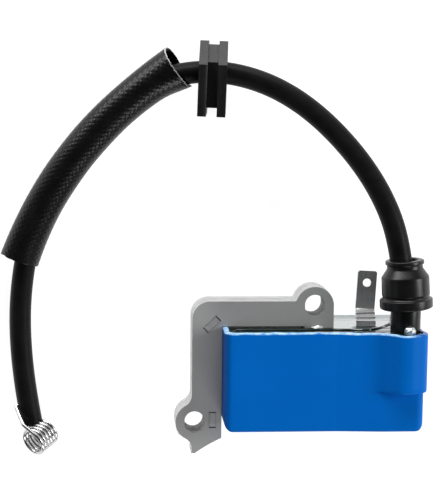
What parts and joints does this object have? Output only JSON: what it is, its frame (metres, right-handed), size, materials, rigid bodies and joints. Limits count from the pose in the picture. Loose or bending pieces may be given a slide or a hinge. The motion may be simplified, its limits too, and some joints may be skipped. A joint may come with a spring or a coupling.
{
  "type": "ignition coil",
  "caption": "Small-engine ignition coil: laminated core with mounting lugs, potted blue case, high-tension lead with boot, grommet, heat sleeve and plug spring.",
  "frame": {"origin": "middle of the footprint of the core, case and boot (without the lead), on the back face it lies on", "axes": "+Z normal to the laminations, from the case's back to its front; +Y from the flywheel towards the case's open side and the boot; +X towards the boot's side of the case"},
  "size_m": [0.1031, 0.1019, 0.0284],
  "materials": {
    "core_steel": "satin, stamped edges",
    "case_plastic": "blue, semi-gloss",
    "resin": "black-green, very glossy",
    "bobbin_plastic": "black moulded",
    "copper_wire": "enamelled copper",
    "fine_wire": "enamelled copper",
    "tinned_metal": "tinned",
    "board": "green laminate",
    "package": "black epoxy",
    "ceramic": "tan ceramic",
    "film_capacitor": "red-brown epoxy",
    "terminal_steel": "dark plated steel",
    "solder": "bright solder",
    "brass": "plain",
    "black_rubber": "satin black",
    "cable_rubber": "smooth satin black",
    "woven_sleeve": "black woven glass fibre with a varnish",
    "spring_wire": "bright spring wire"
  },
  "bodies": {
    "module": {"laminated_core": "core_steel", "coil_case": "case_plastic", "potting_resin": "resin", "primary_bobbin": "bobbin_plastic", "primary_winding": "copper_wire", "charge_winding": "copper_wire", "secondary_bobbin": "bobbin_plastic", "secondary_winding": "fine_wire", "winding_pins": "tinned_metal", "circuit_board": "board", "thyristor": "package", "trigger_chip": "package", "diodes": "package", "resistors": "package", "ceramic_capacitors": "ceramic", "storage_capacitor": "film_capacitor", "hookup_wires": "fine_wire", "high_tension_link": "tinned_metal", "ground_strap": "tinned_metal", "stop_terminal": "terminal_steel", "solder_joints": "solder", "cable_socket": "bobbin_plastic", "contact_pin": "brass", "strain_relief_boot": "black_rubber", "ignition_cable": "cable_rubber", "cable_conductor": "brass", "leg_spring": "spring_wire"},
    "grommet": {"panel_grommet": "black_rubber"},
    "sleeve": {"heat_sleeve": "woven_sleeve"}
  },
  "joints": [
    {"name": "grommet_slide", "type": "hinge", "parent": "module", "child": "grommet", "pos_m": [-0.02243, 0.03622, 0.00697], "axis": [0.0891, 0.0664, -0.9938], "range_deg": [-3.5, 9]},
    {"name": "sleeve_slide", "type": "hinge", "parent": "module", "child": "sleeve", "pos_m": [-0.00681, 0.01061, 0.00677], "axis": [-0.0304, -0.034, 0.999], "range_deg": [0, 10]}
  ]
}
